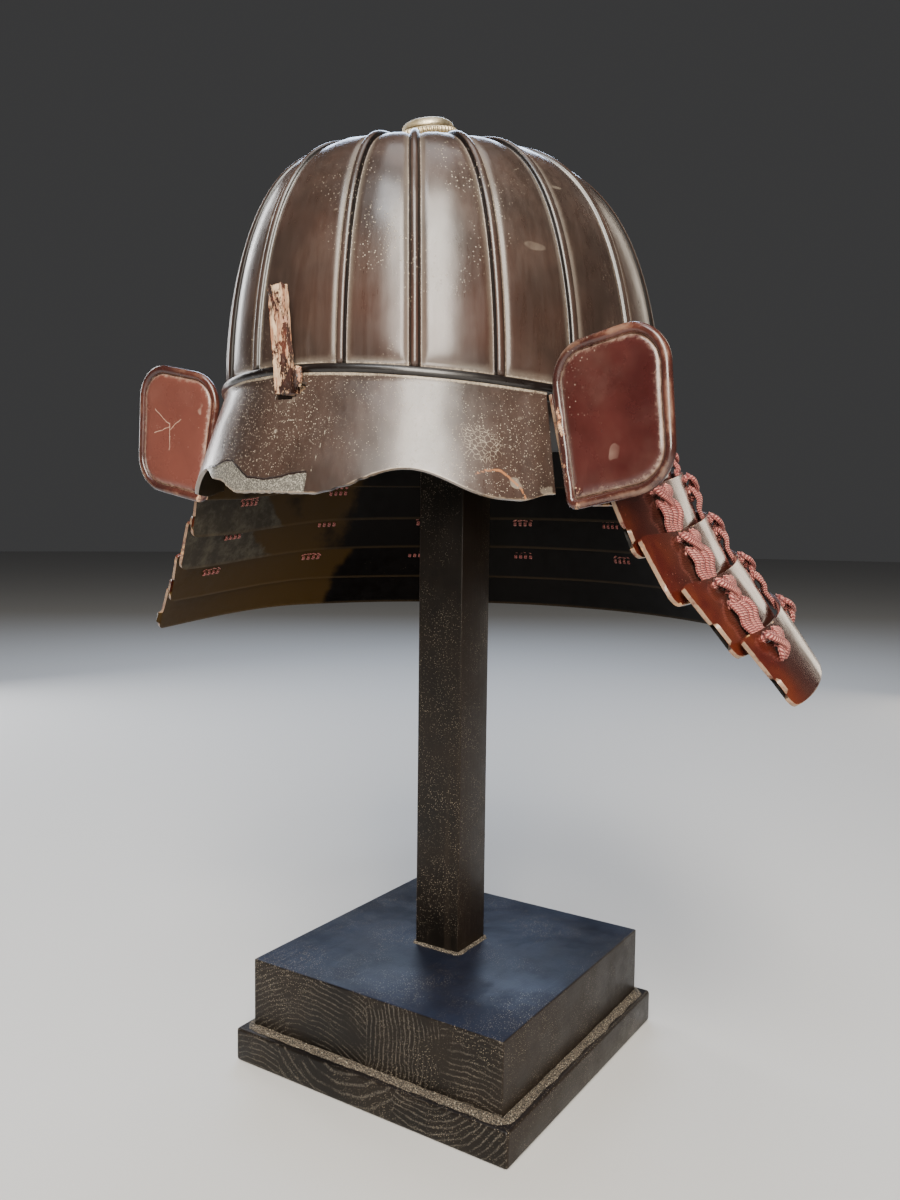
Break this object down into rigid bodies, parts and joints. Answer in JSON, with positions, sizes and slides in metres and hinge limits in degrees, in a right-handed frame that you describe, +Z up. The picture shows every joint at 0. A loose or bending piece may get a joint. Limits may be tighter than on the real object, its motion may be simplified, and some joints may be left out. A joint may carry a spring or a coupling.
{
  "type": "kabuto samurai helmet on a plain wooden stand",
  "caption": "Samurai helmet with ribbed round bowl, arched peak, turned-back ends and a laced, flared neck guard, on a square wooden stand.",
  "frame": {"origin": "centre of the stand's underside", "axes": "+Z up, the helmet faces -Y, +X is the wearer's left"},
  "size_m": [0.3825, 0.2957, 0.4772],
  "materials": {
    "brown_lacquer": "dark brown lacquer over hardened hide, glossy, dusty and scratched",
    "red_brown_lacquer": "translucent red-brown lacquer, worn pale at the edges",
    "maroon_lacquer": "deep maroon lacquer, glossy, rubbed",
    "gilt_copper": "aged gilding, dusty",
    "chipped_wood": "dark lacquer flaked off to bare orange wood",
    "rose_cord": "faded rose braided silk",
    "black_oak": "black-stained oak, satin"
  },
  "bodies": {
    "root": {"stand_plinth": "black_oak", "stand_block": "black_oak", "stand_post": "black_oak", "bowl": "brown_lacquer", "crown_skirt": "gilt_copper", "crown_reeded_ring": "gilt_copper", "crown_cap": "gilt_copper", "peak": "brown_lacquer", "crest_holder": "chipped_wood", "neck_lame_1": "brown_lacquer", "turnback_panel_left": "maroon_lacquer", "turnback_panel_right": "maroon_lacquer", "neck_lame_2": "red_brown_lacquer", "neck_lame_3": "red_brown_lacquer", "neck_lame_4": "red_brown_lacquer", "neck_lame_5": "red_brown_lacquer", "lacing_1": "rose_cord", "lacing_2": "rose_cord", "lacing_3": "rose_cord", "lacing_4": "rose_cord", "lacing_5": "rose_cord", "lacing_6": "rose_cord", "lacing_7": "rose_cord", "lacing_8": "rose_cord"}
  },
  "joints": []
}
